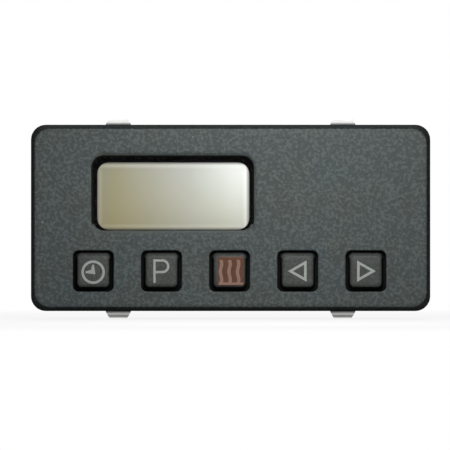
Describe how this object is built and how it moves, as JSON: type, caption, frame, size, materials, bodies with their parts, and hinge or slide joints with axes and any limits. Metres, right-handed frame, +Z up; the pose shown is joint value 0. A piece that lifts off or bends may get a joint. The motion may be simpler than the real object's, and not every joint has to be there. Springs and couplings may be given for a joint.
{
  "type": "panel timer",
  "caption": "Panel-mount programme timer for a vehicle heater: a display window over a row of keys, in a face plate held in its cut-out by sheet spring clips, with a pin header behind.",
  "frame": {"origin": "centre of the panel cut-out, in the plane where the face plate's rear face meets the panel", "axes": "+X to the user's right along the face plate's length, +Y back into the panel, +Z up the face"},
  "size_m": [0.075, 0.0277, 0.0378],
  "materials": {
    "case_plastic": "fine grained, matt, dark grey",
    "key_plastic": "matt, dark grey",
    "legend_plastic": "matt, light grey",
    "heat_lens_plastic": "satin, dull red-brown",
    "heat_legend": "matt, dull pink",
    "clear_plastic": "clear, gloss",
    "mask_ink": "matt black",
    "display_film": "tinted film",
    "display_glass": "clear",
    "display_backing": "satin, silver to khaki",
    "carrier_plastic": "matt, off white",
    "light_guide_plastic": "clear with a dotted rear",
    "reflector_film": "matt white",
    "led_package": "matt, white with a yellow face",
    "elastomer": "matt, finely banded",
    "silicone": "matt, grey",
    "carbon_pill": "matt, black",
    "board_laminate": "green varnish",
    "screw_steel": "zinc plated",
    "chip_plastic": "matt black",
    "can_metal": "satin",
    "resistor_ceramic": "black top, tinned ends",
    "capacitor_ceramic": "tan, tinned ends",
    "red_led": "clear red",
    "connector_plastic": "matt black",
    "pin_metal": "tin over brass",
    "housing_plastic": "matt black",
    "spring_steel": "rolled, satin"
  },
  "bodies": {
    "case": {"front_bezel": "case_plastic", "display_lens": "clear_plastic", "display_mask": "mask_ink", "front_polariser": "display_film", "front_glass": "display_glass", "rear_glass": "display_glass", "rear_polariser": "display_backing", "display_carrier": "carrier_plastic", "backlight_guide": "light_guide_plastic", "backlight_reflector": "reflector_film", "backlight_leds": "led_package", "elastomer_connector": "elastomer", "keypad_mat": "silicone", "circuit_board": "board_laminate", "board_screws": "screw_steel", "microcontroller": "chip_plastic", "clock_crystal": "can_metal", "voltage_regulator": "chip_plastic", "smoothing_capacitors": "can_metal", "output_transistors": "chip_plastic", "protection_diode": "chip_plastic", "chip_resistors": "resistor_ceramic", "chip_capacitors": "capacitor_ceramic", "heat_led": "red_led", "connector_header": "connector_plastic", "connector_pins": "pin_metal", "rear_housing": "housing_plastic"},
    "clock_key": {"clock_key_cap": "key_plastic", "clock_key_legend": "legend_plastic", "clock_key_pill": "carbon_pill"},
    "programme_key": {"programme_key_cap": "key_plastic", "programme_key_legend": "legend_plastic", "programme_key_pill": "carbon_pill"},
    "heat_key": {"heat_key_cap": "key_plastic", "heat_key_lens": "heat_lens_plastic", "heat_key_legend": "heat_legend", "heat_key_pill": "carbon_pill"},
    "back_key": {"back_key_cap": "key_plastic", "back_key_legend": "legend_plastic", "back_key_pill": "carbon_pill"},
    "forward_key": {"forward_key_cap": "key_plastic", "forward_key_legend": "legend_plastic", "forward_key_pill": "carbon_pill"},
    "spring_clip_top_left": {"spring_clip_top_left": "spring_steel"},
    "spring_clip_top_right": {"spring_clip_top_right": "spring_steel"},
    "spring_clip_bottom_left": {"spring_clip_bottom_left": "spring_steel"},
    "spring_clip_bottom_right": {"spring_clip_bottom_right": "spring_steel"}
  },
  "joints": [
    {"name": "clock_key_press", "type": "slide", "parent": "case", "child": "clock_key", "axis": [0, 1, 0], "range_m": [0, 0.0008], "stiffness_N_per_m": 1500, "deforming": ["keypad_mat"]},
    {"name": "programme_key_press", "type": "slide", "parent": "case", "child": "programme_key", "axis": [0, 1, 0], "range_m": [0, 0.0008], "stiffness_N_per_m": 1500, "deforming": ["keypad_mat"]},
    {"name": "heat_key_press", "type": "slide", "parent": "case", "child": "heat_key", "axis": [0, 1, 0], "range_m": [0, 0.0008], "stiffness_N_per_m": 1500, "deforming": ["keypad_mat"]},
    {"name": "back_key_press", "type": "slide", "parent": "case", "child": "back_key", "axis": [0, 1, 0], "range_m": [0, 0.0008], "stiffness_N_per_m": 1500, "deforming": ["keypad_mat"]},
    {"name": "forward_key_press", "type": "slide", "parent": "case", "child": "forward_key", "axis": [0, 1, 0], "range_m": [0, 0.0008], "stiffness_N_per_m": 1500, "deforming": ["keypad_mat"]},
    {"name": "spring_clip_top_left_flex", "type": "hinge", "parent": "case", "child": "spring_clip_top_left", "pos_m": [-0.0212, 0.015, 0.0132], "axis": [1, 0, 0], "range_deg": [0, 17.5], "stiffness_Nm_per_rad": 0.25},
    {"name": "spring_clip_top_right_flex", "type": "hinge", "parent": "case", "child": "spring_clip_top_right", "pos_m": [0.0212, 0.015, 0.0132], "axis": [1, 0, 0], "range_deg": [0, 17.5], "stiffness_Nm_per_rad": 0.25},
    {"name": "spring_clip_bottom_left_flex", "type": "hinge", "parent": "case", "child": "spring_clip_bottom_left", "pos_m": [-0.0212, 0.015, -0.0132], "axis": [-1, 0, 0], "range_deg": [0, 17.5], "stiffness_Nm_per_rad": 0.25},
    {"name": "spring_clip_bottom_right_flex", "type": "hinge", "parent": "case", "child": "spring_clip_bottom_right", "pos_m": [0.0212, 0.015, -0.0132], "axis": [-1, 0, 0], "range_deg": [0, 17.5], "stiffness_Nm_per_rad": 0.25}
  ]
}
